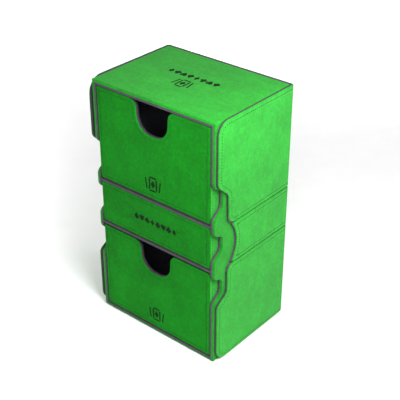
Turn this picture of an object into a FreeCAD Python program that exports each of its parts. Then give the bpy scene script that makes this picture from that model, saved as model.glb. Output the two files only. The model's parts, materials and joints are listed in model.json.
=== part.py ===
# Card deck box: an upright case with two shelves, two deck trays and an accessory
# tray that slide out of its open front, and a U-shaped wrap cover worn on its back.
# Frame: +Z up, +X to the right as seen from the front, the open front faces -Y.
# Origin: centre of the footprint, on the surface the box stands on. Millimetres.
import FreeCAD, Part
import Sketcher
import os

doc = FreeCAD.newDocument("CardDeckBox")

# ---------------------------------------------------------------- driving sizes
sheet = doc.addObject("Spreadsheet::Sheet", "Dims")
SIZES = [
    # case
    ("case_half", 55.0),        # half of the case's outside width
    ("body_top", 192.5),        # height of the case
    ("front_reach", 41.1),      # centre plane to the open front
    ("case_rear", 38.7),        # centre plane to the case's rear face
    ("skin_thick", 1.3),        # microfibre skin of the case
    ("board_thick", 1.8),       # stiff board of the case and trays
    ("lining_thick", 0.6),      # lining of the bays
    ("shelf_low", 77.6),        # underside of the lower shelf board
    ("shelf_high", 114.1),      # underside of the upper shelf board
    # trays
    ("tray_half", 50.9),        # half of a tray's outside width
    ("tray_rear", 34.6),        # centre plane to a tray's rear face
    ("tray_skin", 1.0),
    ("tray_lining", 0.7),
    ("deck_tall", 71.6),        # height of a deck tray
    ("middle_tall", 32.9),      # height of the accessory tray
    ("top_tray_low", 116.7),    # underside of each tray
    ("middle_tray_low", 80.3),
    ("bottom_tray_low", 4.1),
    # thumb cut-out of a deck tray
    ("thumb_deep", 23.3),
    ("thumb_half_top", 14.8),
    ("thumb_half_low", 13.4),
    ("thumb_lip", 6.0),
    ("thumb_round", 12.5),
    # finger notches in the case's sides
    ("notch_inner", 32.1),      # centre plane to the bottom of a notch
    ("notch_fall", 1.6),
    ("notch_a_top", 143.6), ("notch_a_in", 126.5), ("notch_a_low", 120.2),
    ("notch_b_top", 106.9), ("notch_b_in", 92.8), ("notch_b_low", 86.5),
    ("notch_c_top", 71.2), ("notch_c_in", 57.0), ("notch_c_low", 50.7),
    ("lip_round", 6.0), ("inner_round", 4.5), ("sweep_round", 7.0), ("tail_round", 5.0),
    # cover
    ("wear_gap", 0.25),         # case to flap
    ("cover_skin", 0.7), ("cover_board", 0.9), ("cover_lining", 0.5),
    ("cover_inner", 39.0),      # centre plane to the back panel's inner face
    ("cover_half", 55.0),       # half of the back panel's width
    ("cover_low", 0.4), ("cover_top", 192.4),
    ("flap_rear", 38.7), ("flap_front", 40.2),
    ("crease_low", 79.9), ("crease_high", 112.8),
    ("crease_wide", 1.0), ("crease_deep", 0.35),
    ("corner_round", 10.0), ("hollow_round", 24.0),
    # hidden magnets and the discs that they hold
    ("magnet_wide", 10.0), ("magnet_thick", 1.4), ("disc_thick", 0.7),
    ("magnet_y", -22.0), ("magnet_z_low", 24.0), ("magnet_z_high", 168.5),
]
for i, (alias, value) in enumerate(SIZES):
    sheet.set("A%d" % (i + 1), alias)
    sheet.set("B%d" % (i + 1), str(value))
    sheet.setAlias("B%d" % (i + 1), alias)
doc.recompute()


def num(alias):
    return float(getattr(sheet, alias))


nodes = []                      # the sub-parts, in order


def node(obj, label):
    obj.Label = label
    nodes.append(obj)
    return obj


def expr(text):
    """Put the sheet's name before every alias in a formula."""
    import re
    return re.sub(r"\b([a-z][a-z_]+)\b", lambda hit: "Dims." + hit.group(1), text)


def box(name, low, high):
    """A Part::Box between two corners whose six numbers are formulas of the sheet."""
    obj = doc.addObject("Part::Box", name)
    for axis, prop, lo, hi in zip("xyz", ("Length", "Width", "Height"), low, high):
        obj.setExpression("Placement.Base." + axis, expr(lo))
        obj.setExpression(prop, "(%s) - (%s)" % (expr(hi), expr(lo)))
    return obj


def cut(name, base, tool):
    obj = doc.addObject("Part::Cut", name)
    obj.Base = base
    obj.Tool = tool
    return obj


def common(name, base, tool):
    obj = doc.addObject("Part::Common", name)
    obj.Base = base
    obj.Tool = tool
    return obj


def fuse(name, shapes):
    obj = doc.addObject("Part::MultiFuse", name)
    obj.Shapes = shapes
    return obj


def plane_of(body, role):
    for feature in body.Origin.OriginFeatures:
        if getattr(feature, "Role", "") == role:
            return feature
    raise RuntimeError(role)


def outline(name, role, points, length, rounds, base=None):
    """A PartDesign body: a closed outline, padded, with its corners rounded.
    points: (formula, formula) per corner in the sketch's plane.
    rounds: corner index -> formula of the radius."""
    body = doc.addObject("PartDesign::Body", name)
    sk = body.newObject("Sketcher::SketchObject", name + "_sketch")
    sk.AttachmentSupport = [(plane_of(body, role), "")]
    sk.MapMode = "FlatFace"
    doc.recompute()
    vals = []
    for pu, pv in points:
        probe = []
        for formula in (pu, pv):
            probe.append(float(eval_formula(formula)))
        vals.append(tuple(probe))
    n = len(vals)
    V = FreeCAD.Vector
    for i in range(n):
        a, b = vals[i], vals[(i + 1) % n]
        sk.addGeometry(Part.LineSegment(V(a[0], a[1], 0), V(b[0], b[1], 0)), False)
    for i in range(n):
        sk.addConstraint(Sketcher.Constraint("Coincident", i, 2, (i + 1) % n, 1))
    for i in range(n):
        u, v = vals[i]
        cx = sk.addConstraint(Sketcher.Constraint("DistanceX", -1, 1, i, 1, u))
        sk.setExpression("Constraints[%d]" % cx, expr(points[i][0]))
        cy = sk.addConstraint(Sketcher.Constraint("DistanceY", -1, 1, i, 1, v))
        sk.setExpression("Constraints[%d]" % cy, expr(points[i][1]))
    doc.recompute()
    pad = body.newObject("PartDesign::Pad", name + "_pad")
    pad.Profile = sk
    pad.setExpression("Length", expr(length))
    sk.Visibility = False
    doc.recompute()
    last = pad
    # corners that share a radius are rounded together
    groups = {}
    for i, r in rounds.items():
        groups.setdefault(r, []).append(i)
    for k, (r, members) in enumerate(sorted(groups.items())):
        edges = []
        for i in members:
            u, v = vals[i]
            found = None
            for e, edge in enumerate(last.Shape.Edges):
                vs = edge.Vertexes
                if len(vs) != 2:
                    continue
                p, q = vs[0].Point, vs[1].Point
                if role == "YZ_Plane":
                    hit = abs(p.y - u) < 1e-4 and abs(q.y - u) < 1e-4 \
                        and abs(p.z - v) < 1e-4 and abs(q.z - v) < 1e-4
                else:
                    hit = abs(p.x - u) < 1e-4 and abs(q.x - u) < 1e-4 \
                        and abs(p.z - v) < 1e-4 and abs(q.z - v) < 1e-4
                if hit:
                    found = "Edge%d" % (e + 1)
            if found is None:
                raise RuntimeError("%s: no edge at corner %d" % (name, i))
            edges.append(found)
        fil = body.newObject("PartDesign::Fillet", "%s_round%d" % (name, k))
        fil.Base = (last, edges)
        fil.setExpression("Radius", expr(r))
        doc.recompute()
        last = fil
    body.Tip = last
    if base:
        for axis, formula in base.items():
            body.setExpression("Placement.Base." + axis, expr(formula))
    doc.recompute()
    return body


def eval_formula(text):
    """Value of a formula of sums and differences of the sheet's aliases and numbers."""
    total, sign, token = 0.0, 1.0, ""
    for ch in text.replace(" ", "") + "+":
        if ch in "+-":
            if token:
                total += sign * (float(token) if token[0].isdigit() else num(token))
                sign, token = 1.0, ""
            if ch == "-":
                sign = -sign
        else:
            token += ch
    return total


# ---------------------------------------------------------------- cutters
def notch_cutter(name, key):
    top, inn, low = "notch_%s_top" % key, "notch_%s_in" % key, "notch_%s_low" % key
    pts = [("-front_reach - 9", top + " + 9"),
           ("-front_reach", top + " + 9"),
           ("-front_reach", top),
           ("-notch_inner", top + " - notch_fall"),
           ("-notch_inner", inn),
           ("-front_reach", low),
           ("-front_reach", low + " - 6"),
           ("-front_reach - 9", low + " - 6")]
    return outline(name, "YZ_Plane", pts, "case_half + case_half + 20",
                   {2: "lip_round", 3: "inner_round", 4: "sweep_round", 5: "tail_round"},
                   base={"x": "-case_half - 10"})


notches = fuse("finger_notches", [notch_cutter("notch_upper", "a"),
                                  notch_cutter("notch_middle", "b"),
                                  notch_cutter("notch_lower", "c")])


def thumb_cutter(name, low):
    rim = low + " + deck_tall"
    pts = [("-thumb_half_top - 14", rim + " + 6"),
           ("-thumb_half_top - 14", rim),
           ("-thumb_half_top", rim),
           ("-thumb_half_low", rim + " - thumb_deep"),
           ("thumb_half_low", rim + " - thumb_deep"),
           ("thumb_half_top", rim),
           ("thumb_half_top + 14", rim),
           ("thumb_half_top + 14", rim + " + 6")]
    return outline(name, "XZ_Plane", pts, "20",
                   {2: "thumb_lip", 5: "thumb_lip", 3: "thumb_round", 4: "thumb_round"},
                   base={"y": "-front_reach + 10"})


def discs(name, x_low, thick, wide):
    """Two discs with their axes along X, one near the bottom and one near the top."""
    made = []
    for tag, z in (("low", "magnet_z_low"), ("high", "magnet_z_high")):
        c = doc.addObject("Part::Cylinder", "%s_%s" % (name, tag))
        c.setExpression("Radius", "(%s) / 2" % expr(wide))
        c.setExpression("Height", expr(thick))
        c.Placement = FreeCAD.Placement(FreeCAD.Vector(0, 0, 0),
                                        FreeCAD.Rotation(FreeCAD.Vector(0, 1, 0), 90))
        c.setExpression("Placement.Base.x", expr(x_low))
        c.setExpression("Placement.Base.y", expr("magnet_y"))
        c.setExpression("Placement.Base.z", expr(z))
        made.append(c)
    return made


# ---------------------------------------------------------------- case: skins
Y0, YR = "-front_reach", "case_rear"
node(box("b_top_skin", ("-case_half", Y0, "body_top - skin_thick"),
         ("case_half", YR, "body_top")), "case_top_skin")
node(box("b_bottom_skin", ("-case_half", Y0, "0"),
         ("case_half", YR, "skin_thick")), "case_bottom_skin")
node(box("b_back_skin", ("-case_half + skin_thick", "case_rear - skin_thick", "skin_thick"),
         ("case_half - skin_thick", YR, "body_top - skin_thick")), "case_back_skin")
for side, lo, hi in (("left", "-case_half", "-case_half + skin_thick"),
                     ("right", "case_half - skin_thick", "case_half")):
    blank = box("b_%s_skin" % side, (lo, Y0, "skin_thick"), (hi, YR, "body_top - skin_thick"))
    node(cut("c_%s_skin" % side, blank, notches), "case_%s_skin" % side)

# ---------------------------------------------------------------- case: boards
BR = "case_rear - skin_thick"                       # rear of the boards
BX = "case_half - skin_thick"                       # outside of the side boards
BI = "case_half - skin_thick - board_thick"         # inside of the side boards
BZ0 = "skin_thick + board_thick"
BZ1 = "body_top - skin_thick - board_thick"
node(box("b_top_board", ("-case_half + skin_thick", Y0, BZ1),
         (BX, BR, "body_top - skin_thick")), "case_top_board")
node(box("b_bottom_board", ("-case_half + skin_thick", Y0, "skin_thick"),
         (BX, BR, BZ0)), "case_bottom_board")
node(box("b_back_board", ("-case_half + skin_thick + board_thick", BR + " - board_thick", BZ0),
         (BI, BR, BZ1)), "case_back_board")
for side, lo, hi, mag in (
        ("left", "-case_half + skin_thick", "-case_half + skin_thick + board_thick",
         "-case_half + skin_thick + 0.2"),
        ("right", BI, BX, BI + " + 0.2")):
    blank = box("b_%s_board" % side, (lo, Y0, BZ0), (hi, BR, BZ1))
    holes = fuse("h_%s_board" % side,
                 [notches] + discs("m_%s_hole" % side, lo, "board_thick", "magnet_wide + 0.4"))
    node(cut("c_%s_board" % side, blank, holes), "case_%s_board" % side)
    pair = discs("m_%s_case" % side, mag, "magnet_thick", "magnet_wide")
    comp = doc.addObject("Part::Compound", "mc_%s_case" % side)
    comp.Links = pair
    node(comp, "case_%s_magnets" % side)

SR = BR + " - board_thick"                          # rear of the shelves
for label, low in (("lower_shelf", "shelf_low"), ("upper_shelf", "shelf_high")):
    node(box("b_" + label, ("-case_half + skin_thick + board_thick", Y0, low),
             (BI, SR, low + " + board_thick")), label)

# ---------------------------------------------------------------- case: bay linings
for label, low, high in (
        ("upper_bay_lining", "shelf_high + board_thick", BZ1),
        ("middle_bay_lining", "shelf_low + board_thick", "shelf_high"),
        ("lower_bay_lining", BZ0, "shelf_low")):
    outer = box("o_" + label, ("-case_half + skin_thick + board_thick", Y0, low), (BI, SR, high))
    inner = box("i_" + label, ("-case_half + skin_thick + board_thick + lining_thick",
                               "-front_reach - 5", low + " + lining_thick"),
                (BI + " - lining_thick", SR + " - lining_thick", high + " - lining_thick"))
    shell = cut("s_" + label, outer, inner)
    node(cut("c_" + label, shell, notches), label)

# ---------------------------------------------------------------- trays
for tag, low, tall, thumb in (("top_tray", "top_tray_low", "deck_tall", True),
                              ("middle_tray", "middle_tray_low", "middle_tall", False),
                              ("bottom_tray", "bottom_tray_low", "deck_tall", True)):
    rim = low + " + " + tall
    cutter = thumb_cutter(tag + "_thumb", low) if thumb else None
    # outer skin: an open-topped box
    o = box("o_%s_skin" % tag, ("-tray_half", Y0, low), ("tray_half", "tray_rear", rim))
    i = box("i_%s_skin" % tag, ("-tray_half + tray_skin", "-front_reach + tray_skin",
                                low + " + tray_skin"),
            ("tray_half - tray_skin", "tray_rear - tray_skin", rim + " + 5"))
    skin = cut("s_%s_skin" % tag, o, i)
    if thumb:
        skin = cut("c_%s_skin" % tag, skin, cutter)
    node(skin, tag + "_outer_skin")
    # boards between the skin and the lining
    f0 = "-front_reach + tray_skin"
    f1 = "-front_reach + tray_skin + board_thick"
    r1 = "tray_rear - tray_skin"
    r0 = "tray_rear - tray_skin - board_thick"
    x0, x1 = "-tray_half + tray_skin", "tray_half - tray_skin"
    xi0, xi1 = "-tray_half + tray_skin + board_thick", "tray_half - tray_skin - board_thick"
    z0, z1 = low + " + tray_skin", low + " + tray_skin + board_thick"
    front = box("b_%s_front" % tag, (x0, f0, z1), (x1, f1, rim))
    if thumb:
        front = cut("c_%s_front" % tag, front, cutter)
    node(front, tag + "_front_board")
    node(box("b_%s_left" % tag, (x0, f1, z1), (xi0, r0, rim)), tag + "_left_board")
    node(box("b_%s_right" % tag, (xi1, f1, z1), (x1, r0, rim)), tag + "_right_board")
    node(box("b_%s_back" % tag, (x0, r0, z1), (x1, r1, rim)), tag + "_back_board")
    node(box("b_%s_floor" % tag, (x0, f0, z0), (x1, r1, z1)), tag + "_floor_board")
    # lining: an open-topped box inside the boards
    o = box("o_%s_lining" % tag, (xi0, f1, z1), (xi1, r0, rim))
    i = box("i_%s_lining" % tag, (xi0 + " + tray_lining", f1 + " + tray_lining",
                                  z1 + " + tray_lining"),
            (xi1 + " - tray_lining", r0 + " - tray_lining", rim + " + 5"))
    lining = cut("s_%s_lining" % tag, o, i)
    if thumb:
        lining = cut("c_%s_lining" % tag, lining, cutter)
    node(lining, tag + "_lining")

# ---------------------------------------------------------------- cover: back panel
C0 = "cover_inner"
C1 = "cover_inner + cover_lining"
C2 = "cover_inner + cover_lining + cover_board"
C3 = "cover_inner + cover_lining + cover_board + cover_skin"
back = box("b_cover_skin", ("-cover_half", C2, "cover_low"), ("cover_half", C3, "cover_top"))
grooves = []
for tag, z in (("low", "crease_low"), ("high", "crease_high")):
    grooves.append(box("g_back_" + tag, ("-cover_half - 1", C3 + " - crease_deep", z + " - 0.5"),
                       ("cover_half + 1", C3 + " + 1", z + " + 0.5")))
node(cut("c_cover_skin", back, fuse("g_back", grooves)), "cover_back_skin")
for tag, lo, hi in (("lower", "cover_low", "crease_low - 0.6"),
                    ("middle", "crease_low + 0.6", "crease_high - 0.6"),
                    ("upper", "crease_high + 0.6", "cover_top")):
    node(box("b_cover_%s" % tag, ("-cover_half", C1, lo), ("cover_half", C2, hi)),
         "cover_back_%s_board" % tag)
node(box("b_cover_lining", ("-cover_half", C0, "cover_low"), ("cover_half", C1, "cover_top")),
     "cover_back_lining")

# corner fold strips: solid quarter rounds that close the two rear corners
FX0 = "case_half + wear_gap"                        # inner face of the right flap
T = "cover_lining + cover_board + cover_skin"
for side, turn, x in (("right", 0, "case_half + wear_gap"), ("left", 90, "-case_half - wear_gap")):
    c = doc.addObject("Part::Cylinder", "q_%s_strip" % side)
    c.setExpression("Radius", expr(T) + " - 0.1")
    c.setExpression("Height", expr("cover_top - cover_low"))
    c.Angle = 90
    c.Placement = FreeCAD.Placement(FreeCAD.Vector(0, 0, 0),
                                    FreeCAD.Rotation(FreeCAD.Vector(0, 0, 1), turn))
    c.setExpression("Placement.Base.x", expr(x))
    c.setExpression("Placement.Base.y", expr("cover_inner + 0.1"))
    c.setExpression("Placement.Base.z", expr("cover_low"))
    node(c, "%s_fold_strip" % side)

# ---------------------------------------------------------------- cover: side flaps
FLAP = [("-flap_front", "cover_top"),
        ("-flap_front", "146.6"),
        ("-29.0", "136.5"),
        ("-28.4", "crease_high + 0.6"),
        ("-22.6", "crease_high - 0.2"),
        ("-24.6", "crease_high - 1.2"),
        ("-15.6", "96.2"),
        ("-24.6", "crease_low + 0.9"),
        ("-22.6", "crease_low - 0.1"),
        ("-28.6", "crease_low - 0.9"),
        ("-29.0", "56.0"),
        ("-flap_front", "49.4"),
        ("-flap_front", "cover_low"),
        ("flap_rear", "cover_low"),
        ("flap_rear", "cover_top")]
FLAP_ROUND = {0: "corner_round", 1: "lip_round", 2: "lip_round", 3: "tail_round",
              6: "hollow_round", 9: "tail_round", 10: "lip_round", 11: "tail_round",
              12: "corner_round"}
for side in ("right", "left"):
    if side == "right":
        lay = (("lining", "cover_lining", FX0),
               ("board", "cover_board", FX0 + " + cover_lining"),
               ("skin", "cover_skin", FX0 + " + cover_lining + cover_board"))
        gx = (FX0 + " + cover_lining + cover_board + cover_skin - crease_deep",
              FX0 + " + cover_lining + cover_board + cover_skin + 1")
        disc_x = FX0 + " + cover_lining + 0.1"
        hole_x = FX0 + " + cover_lining"
    else:
        lay = (("lining", "cover_lining", "-case_half - wear_gap - cover_lining"),
               ("board", "cover_board", "-case_half - wear_gap - cover_lining - cover_board"),
               ("skin", "cover_skin",
                "-case_half - wear_gap - cover_lining - cover_board - cover_skin"))
        gx = ("-case_half - wear_gap - cover_lining - cover_board - cover_skin - 1",
              "-case_half - wear_gap - cover_lining - cover_board - cover_skin + crease_deep")
        disc_x = "-case_half - wear_gap - cover_lining - cover_board + 0.1"
        hole_x = "-case_half - wear_gap - cover_lining - cover_board"
    for layer, thick, x in lay:
        sheet_body = outline("%s_flap_%s_blank" % (side, layer), "YZ_Plane", FLAP, thick,
                             FLAP_ROUND, base={"x": x})
        if layer == "lining":
            node(sheet_body, "%s_flap_lining" % side)
        elif layer == "skin":
            gs = []
            for tag, z in (("low", "crease_low"), ("high", "crease_high")):
                gs.append(box("g_%s_%s" % (side, tag),
                              (gx[0], "-flap_front - 2", z + " - 0.5"),
                              (gx[1], "flap_rear + 2", z + " + 0.5")))
            node(cut("c_%s_flap_skin" % side, sheet_body, fuse("g_%s" % side, gs)),
                 "%s_flap_outer_skin" % side)
        else:
            bored = cut("h_%s_flap_board" % side, sheet_body,
                        fuse("hh_%s_flap" % side,
                             discs("m_%s_flap_hole" % side, hole_x, "cover_board",
                                   "magnet_wide + 0.4")))
            far = ("-case_half - 10", "case_half + 10")
            for tag, lo, hi in (("lower", "cover_low - 1", "crease_low - 0.6"),
                                ("middle", "crease_low + 0.6", "crease_high - 0.6"),
                                ("upper", "crease_high + 0.6", "cover_top + 1")):
                win = box("w_%s_flap_%s" % (side, tag), (far[0], "-flap_front - 5", lo),
                          (far[1], "flap_rear + 5", hi))
                node(common("n_%s_flap_%s" % (side, tag), bored, win),
                     "%s_flap_%s_board" % (side, tag))
            comp = doc.addObject("Part::Compound", "mc_%s_flap" % side)
            comp.Links = discs("m_%s_flap" % side, disc_x, "disc_thick", "magnet_wide")
            node(comp, "%s_flap_discs" % side)

doc.recompute()

# ---------------------------------------------------------------- checks, then files
for obj in doc.Objects:
    if "Invalid" in obj.State or "Error" in obj.State:
        raise RuntimeError("failed object: %s %s" % (obj.Name, obj.State))
os.makedirs("parts", exist_ok=True)
for obj in nodes:
    shape = obj.Shape
    if shape.isNull() or not shape.isValid() or not shape.Solids or shape.Volume < 1.0:
        raise RuntimeError("bad shape: " + obj.Label)
for obj in nodes:
    obj.Shape.exportStep("parts/%s.step" % obj.Label)
    b = obj.Shape.BoundBox
    print("%-26s %2d solid %9.1f mm3  X %7.2f %7.2f  Y %7.2f %7.2f  Z %7.2f %7.2f" % (
        obj.Label, len(obj.Shape.Solids), obj.Shape.Volume,
        b.XMin, b.XMax, b.YMin, b.YMax, b.ZMin, b.ZMax))
print(len(nodes), "nodes")
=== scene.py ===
import bpy
import bmesh
import json
import math
from mathutils import Vector, Matrix


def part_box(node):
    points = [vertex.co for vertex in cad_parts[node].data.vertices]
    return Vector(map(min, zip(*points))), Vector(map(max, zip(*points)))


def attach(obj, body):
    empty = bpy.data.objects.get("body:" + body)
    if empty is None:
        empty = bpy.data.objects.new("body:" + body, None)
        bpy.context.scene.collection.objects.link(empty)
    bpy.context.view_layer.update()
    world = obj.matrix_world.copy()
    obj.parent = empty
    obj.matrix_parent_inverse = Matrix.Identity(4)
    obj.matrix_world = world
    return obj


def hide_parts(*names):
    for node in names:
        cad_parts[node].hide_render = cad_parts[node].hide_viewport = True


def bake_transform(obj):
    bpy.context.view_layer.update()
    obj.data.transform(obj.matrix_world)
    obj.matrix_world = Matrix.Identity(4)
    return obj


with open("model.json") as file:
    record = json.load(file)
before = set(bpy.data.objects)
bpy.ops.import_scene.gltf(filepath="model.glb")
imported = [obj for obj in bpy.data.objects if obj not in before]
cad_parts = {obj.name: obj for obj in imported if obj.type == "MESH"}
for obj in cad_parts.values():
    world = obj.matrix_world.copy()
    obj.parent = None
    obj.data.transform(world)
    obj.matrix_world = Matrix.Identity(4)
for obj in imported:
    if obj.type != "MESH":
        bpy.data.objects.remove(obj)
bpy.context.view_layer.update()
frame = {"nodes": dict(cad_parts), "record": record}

MM = 0.001
NODES = frame["nodes"]
scene = bpy.context.scene
scene.view_settings.view_transform = "Standard"


def B(node):
    """Lowest and highest corners of a CAD node, in millimetres."""
    lo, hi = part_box(node)
    return [v / MM for v in lo], [v / MM for v in hi]


# ------------------------------------------------------------------ materials
class Nodes:
    def __init__(self, name):
        self.mat = bpy.data.materials.new(name)
        self.mat.use_nodes = True
        self.t = self.mat.node_tree
        self.t.nodes.clear()
        self.out = self.add("ShaderNodeOutputMaterial")
        self.bsdf = self.add("ShaderNodeBsdfPrincipled")
        self.link(self.bsdf, "BSDF", self.out, "Surface")

    def add(self, kind, **values):
        n = self.t.nodes.new(kind)
        for k, v in values.items():
            setattr(n, k, v)
        return n

    def link(self, a, ao, b, bi):
        self.t.links.new(a.outputs[ao], b.inputs[bi])

    def coords(self, scale):
        c = self.add("ShaderNodeTexCoord")
        m = self.add("ShaderNodeMapping")
        m.inputs["Scale"].default_value = scale
        self.link(c, "Object", m, "Vector")
        return m

    def noise(self, scale, size, detail=3.0, rough=0.5, distort=0.0):
        m = self.coords(scale)
        n = self.add("ShaderNodeTexNoise")
        n.inputs["Scale"].default_value = size
        n.inputs["Detail"].default_value = detail
        n.inputs["Roughness"].default_value = rough
        n.inputs["Distortion"].default_value = distort
        self.link(m, "Vector", n, "Vector")
        return n

    def ramp(self, src, out, stops):
        r = self.add("ShaderNodeValToRGB")
        r.color_ramp.elements[0].position = stops[0][0]
        r.color_ramp.elements[0].color = (*stops[0][1], 1)
        r.color_ramp.elements[1].position = stops[-1][0]
        r.color_ramp.elements[1].color = (*stops[-1][1], 1)
        for p, c in stops[1:-1]:
            e = r.color_ramp.elements.new(p)
            e.color = (*c, 1)
        self.link(src, out, r, "Fac")
        return r

    def mix(self, a, ao, b, bo, mode="MIX", fac=0.5):
        m = self.add("ShaderNodeMix", data_type="RGBA", blend_type=mode)
        m.inputs["Factor"].default_value = fac
        self.t.links.new(a.outputs[ao], m.inputs[6])
        self.t.links.new(b.outputs[bo], m.inputs[7])
        return m

    def bump(self, src, out, strength, distance, before=None):
        b = self.add("ShaderNodeBump")
        b.inputs["Strength"].default_value = strength
        b.inputs["Distance"].default_value = distance
        self.link(src, out, b, "Height")
        if before is not None:
            self.link(before, "Normal", b, "Normal")
        return b


def suede(name, dark, mid, light, stretch=(1.0, 1.0, 0.3), nap=1.0, sheen=0.3, rough=0.9, fine=0.10,
          edge=0.0, spec=0.2):
    """Brushed microfibre: soft clouds and brushing streaks, a fine nap, and sheen."""
    n = Nodes(name)
    clouds = n.noise((1, 1, 1), 42.0, 5.0, 0.6, 0.5)
    broad = n.noise((1, 1, 1), 13.0, 2.0, 0.5, 0.3)
    streaks = n.noise(stretch, 190.0, 4.0, 0.6, 0.35)
    a = n.ramp(clouds, "Fac", [(0.32, dark), (0.50, mid), (0.68, light)])
    b = n.ramp(streaks, "Fac", [(0.30, dark), (0.50, mid), (0.70, light)])
    c = n.ramp(broad, "Fac", [(0.36, dark), (0.50, mid), (0.64, light)])
    crush = n.noise((1.0, 1.0, 1.0), 390.0, 3.0, 0.65, 0.5)
    d = n.ramp(crush, "Fac", [(0.34, dark), (0.50, mid), (0.66, light)])

    def blended(first, second, share):
        m = n.add("ShaderNodeMix", data_type="RGBA", blend_type="MIX")
        m.inputs["Factor"].default_value = share
        n.t.links.new(first, m.inputs[6])
        n.t.links.new(second, m.inputs[7])
        return m.outputs[2]

    ab = blended(a.outputs["Color"], b.outputs["Color"], 0.45)
    abc = blended(ab, c.outputs["Color"], 0.22)
    base = blended(abc, d.outputs["Color"], 0.34)
    fibre = n.noise((1, 1, 1), 2600.0, 2.0, 0.6)
    grain = n.ramp(fibre, "Fac", [(0.25, (1 - fine * 2.2,) * 3), (0.75, (1 + fine,) * 3)])
    full = n.add("ShaderNodeMix", data_type="RGBA", blend_type="MULTIPLY")
    full.inputs["Factor"].default_value = 1.0
    n.t.links.new(base, full.inputs[6])
    n.t.links.new(grain.outputs["Color"], full.inputs[7])
    # small flecks where the nap lies the other way
    fleck = n.noise((1, 1, 1), 1150.0, 2.0, 0.55, 0.3)
    marks = n.ramp(fleck, "Fac", [(0.30, (0.90,) * 3), (0.70, (1.10,) * 3)])
    flecked = n.add("ShaderNodeMix", data_type="RGBA", blend_type="MULTIPLY")
    flecked.inputs["Factor"].default_value = 1.0
    n.t.links.new(full.outputs[2], flecked.inputs[6])
    n.t.links.new(marks.outputs["Color"], flecked.inputs[7])
    full = flecked
    last = full
    if edge:
        # painted light on convex edges: a positive edge paints a highlight on the rounding, a negative one paints shade
        # there
        geo = n.add("ShaderNodeNewGeometry")
        painted_edge_ramp = n.ramp(geo, "Pointiness", [(0.50, (1.0, 1.0, 1.0)), (0.56, (1 + edge * 1.6, 1 + edge, 1 + edge * 1.6))])
        painted_edge_mix = n.add("ShaderNodeMix", data_type="RGBA", blend_type="MULTIPLY")
        painted_edge_mix.inputs["Factor"].default_value = 1.0
        n.t.links.new(full.outputs[2], painted_edge_mix.inputs[6])
        n.t.links.new(painted_edge_ramp.outputs["Color"], painted_edge_mix.inputs[7])
        last = painted_edge_mix
    n.t.links.new(last.outputs[2], n.bsdf.inputs["Base Color"])
    r = n.ramp(streaks, "Fac", [(0.3, (rough - 0.06,) * 3), (0.7, (min(rough + 0.06, 1),) * 3)])
    n.link(r, "Color", n.bsdf, "Roughness")
    n.bsdf.inputs["Specular IOR Level"].default_value = spec
    n.bsdf.inputs["Sheen Weight"].default_value = sheen
    n.bsdf.inputs["Sheen Roughness"].default_value = 0.5
    n.bsdf.inputs["Sheen Tint"].default_value = (*[min(1.0, 0.35 + c * 1.2) for c in light], 1)
    soft = n.noise((1, 1, 1), 420.0, 3.0, 0.6)
    b1 = n.bump(soft, "Fac", 0.35 * nap, 0.00022)
    b2 = n.bump(fibre, "Fac", 0.55 * nap, 0.00009, b1)
    n.link(b2, "Normal", n.bsdf, "Normal")
    return n.mat


def plain(name, lo, hi, size, rough, bump=0.3, dist=0.0001, metal=0.0, spec=0.3, sheen=0.0):
    n = Nodes(name)
    t = n.noise((1, 1, 1), size, 4.0, 0.6, 0.2)
    c = n.ramp(t, "Fac", [(0.3, lo), (0.7, hi)])
    n.link(c, "Color", n.bsdf, "Base Color")
    r = n.ramp(t, "Fac", [(0.3, (rough * 0.9,) * 3), (0.7, (min(1.0, rough * 1.08),) * 3)])
    n.link(r, "Color", n.bsdf, "Roughness")
    n.bsdf.inputs["Metallic"].default_value = metal
    n.bsdf.inputs["Specular IOR Level"].default_value = spec
    n.bsdf.inputs["Sheen Weight"].default_value = sheen
    n.bsdf.inputs["Sheen Roughness"].default_value = 0.5
    f = n.noise((1, 1, 1), size * 6, 2.0, 0.6)
    b = n.bump(f, "Fac", bump, dist)
    n.link(b, "Normal", n.bsdf, "Normal")
    return n.mat


def thread_material(name, lo, hi):
    """Twisted sewing thread: a fine diagonal twist over a soft colour change."""
    n = Nodes(name)
    w = n.add("ShaderNodeTexWave", wave_type="BANDS", bands_direction="DIAGONAL")
    w.inputs["Scale"].default_value = 900.0
    w.inputs["Distortion"].default_value = 1.5
    m = n.coords((1, 1, 1))
    n.link(m, "Vector", w, "Vector")
    c = n.ramp(w, "Fac", [(0.2, lo), (0.8, hi)])
    n.link(c, "Color", n.bsdf, "Base Color")
    n.bsdf.inputs["Roughness"].default_value = 0.7
    n.bsdf.inputs["Specular IOR Level"].default_value = 0.2
    b = n.bump(w, "Fac", 0.4, 0.00006)
    n.link(b, "Normal", n.bsdf, "Normal")
    return n.mat


G_DARK, G_MID, G_LIGHT = (0.0050, 0.180, 0.0080), (0.0095, 0.272, 0.0145), (0.0190, 0.385, 0.0270)
# the plain green: its negative edge paints a faint shade on convex edges
GREEN = suede("green_microfibre", G_DARK, G_MID, G_LIGHT, edge=-0.08)
# the lid green: its negative edge paints a faint shade on convex edges
GREEN_TOP = suede("green_microfibre_lid", (0.0035, 0.180, 0.0055), (0.0065, 0.272, 0.0100), (0.0135, 0.385, 0.0190),
                  stretch=(0.25, 1.0, 1.0), sheen=0.24, edge=-0.02)
# a darker copy of the green for the case sides, which stand back behind the flaps: painted shade; its positive edge
# paints a highlight on convex edges
GREEN_CASE_SHADED = suede("green_microfibre_case_painted_shade", (0.0030, 0.145, 0.0055), (0.0060, 0.218, 0.0100), (0.0125, 0.305, 0.0185),
                   sheen=0.22, edge=0.05)
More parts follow.
